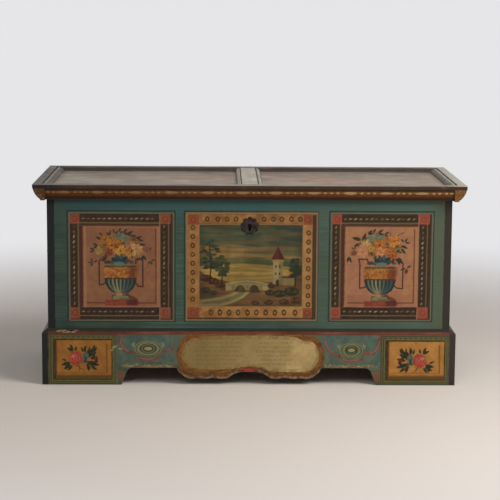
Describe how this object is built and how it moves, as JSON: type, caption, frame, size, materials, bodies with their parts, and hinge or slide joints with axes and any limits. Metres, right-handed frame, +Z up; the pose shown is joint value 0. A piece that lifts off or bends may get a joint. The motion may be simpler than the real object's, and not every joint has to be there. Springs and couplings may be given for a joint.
{
  "type": "wedding chest",
  "caption": "Painted low chest with a hinged flat lid, moulded rim, bracket plinth with a lobed apron, lock, inner till and end handles.",
  "frame": {"origin": "on the floor, under the middle of the chest's overall box", "axes": "+X along the front to the right, +Y from the front to the back, +Z up"},
  "size_m": [1.48, 0.62, 0.7],
  "materials": {
    "front_paint": "aged distemper and oil paint, panels on blue-green",
    "plinth_paint": "aged paint, panels on blue-green",
    "side_paint": "aged dark paint",
    "moulding_paint": "aged ochre paint with a light bead pattern",
    "lid_paint": "worn grey-green paint with pink traces",
    "strip_paint": "worn grey-green paint",
    "bare_wood": "bare aged spruce",
    "forged_iron": "dark forged iron"
  },
  "bodies": {
    "case": {"front_board": "front_paint", "back_board": "bare_wood", "left_side_board": "side_paint", "right_side_board": "side_paint", "floor_board_front": "bare_wood", "floor_board_middle": "bare_wood", "floor_board_back": "bare_wood", "till_front": "bare_wood", "till_bottom": "bare_wood", "plinth_front": "plinth_paint", "plinth_left": "plinth_paint", "plinth_right": "plinth_paint", "front_left_block": "forged_iron", "front_right_block": "forged_iron", "back_left_block": "forged_iron", "back_right_block": "forged_iron", "back_left_foot": "bare_wood", "back_right_foot": "bare_wood", "left_hinge_plate": "forged_iron", "right_hinge_plate": "forged_iron", "left_hinge_pin": "forged_iron", "right_hinge_pin": "forged_iron", "back_hinge_nails": "forged_iron", "lock_case": "forged_iron", "lock_nails": "forged_iron", "escutcheon": "forged_iron", "escutcheon_nails": "forged_iron", "left_handle_lugs": "forged_iron", "right_handle_lugs": "forged_iron"},
    "lid": {"lid_board_front": "lid_paint", "lid_board_middle": "lid_paint", "lid_board_back": "lid_paint", "lid_front_moulding": "moulding_paint", "lid_left_moulding": "moulding_paint", "lid_right_moulding": "moulding_paint", "lid_left_strip": "strip_paint", "lid_right_strip": "strip_paint", "lid_front_strip": "strip_paint", "lid_back_strip": "strip_paint", "lid_muntin": "strip_paint", "left_hinge_strap": "forged_iron", "right_hinge_strap": "forged_iron", "lid_hinge_nails": "forged_iron", "lid_staple": "forged_iron", "lid_staple_nails": "forged_iron"},
    "till_lid": {"till_lid": "bare_wood"},
    "lock_bolt": {"lock_bolt": "forged_iron"},
    "left_handle": {"left_handle": "forged_iron"},
    "right_handle": {"right_handle": "forged_iron"}
  },
  "joints": [
    {"name": "lid_hinge", "type": "hinge", "parent": "case", "child": "lid", "pos_m": [0, 0.3015, 0.6605], "axis": [-1, 0, 0], "range_deg": [0, 100]},
    {"name": "till_lid_hinge", "type": "hinge", "parent": "case", "child": "till_lid", "pos_m": [-0.663, 0.015, 0.551], "axis": [0, -1, 0], "range_deg": [0, 90]},
    {"name": "lock_bolt_slide", "type": "slide", "parent": "case", "child": "lock_bolt", "axis": [1, 0, 0], "range_m": [0, 0.018]},
    {"name": "left_handle_swing", "type": "hinge", "parent": "case", "child": "left_handle", "pos_m": [-0.71, 0.015, 0.43], "axis": [0, 1, 0], "range_deg": [0, 180]},
    {"name": "right_handle_swing", "type": "hinge", "parent": "case", "child": "right_handle", "pos_m": [0.71, 0.015, 0.43], "axis": [0, -1, 0], "range_deg": [0, 180]}
  ]
}
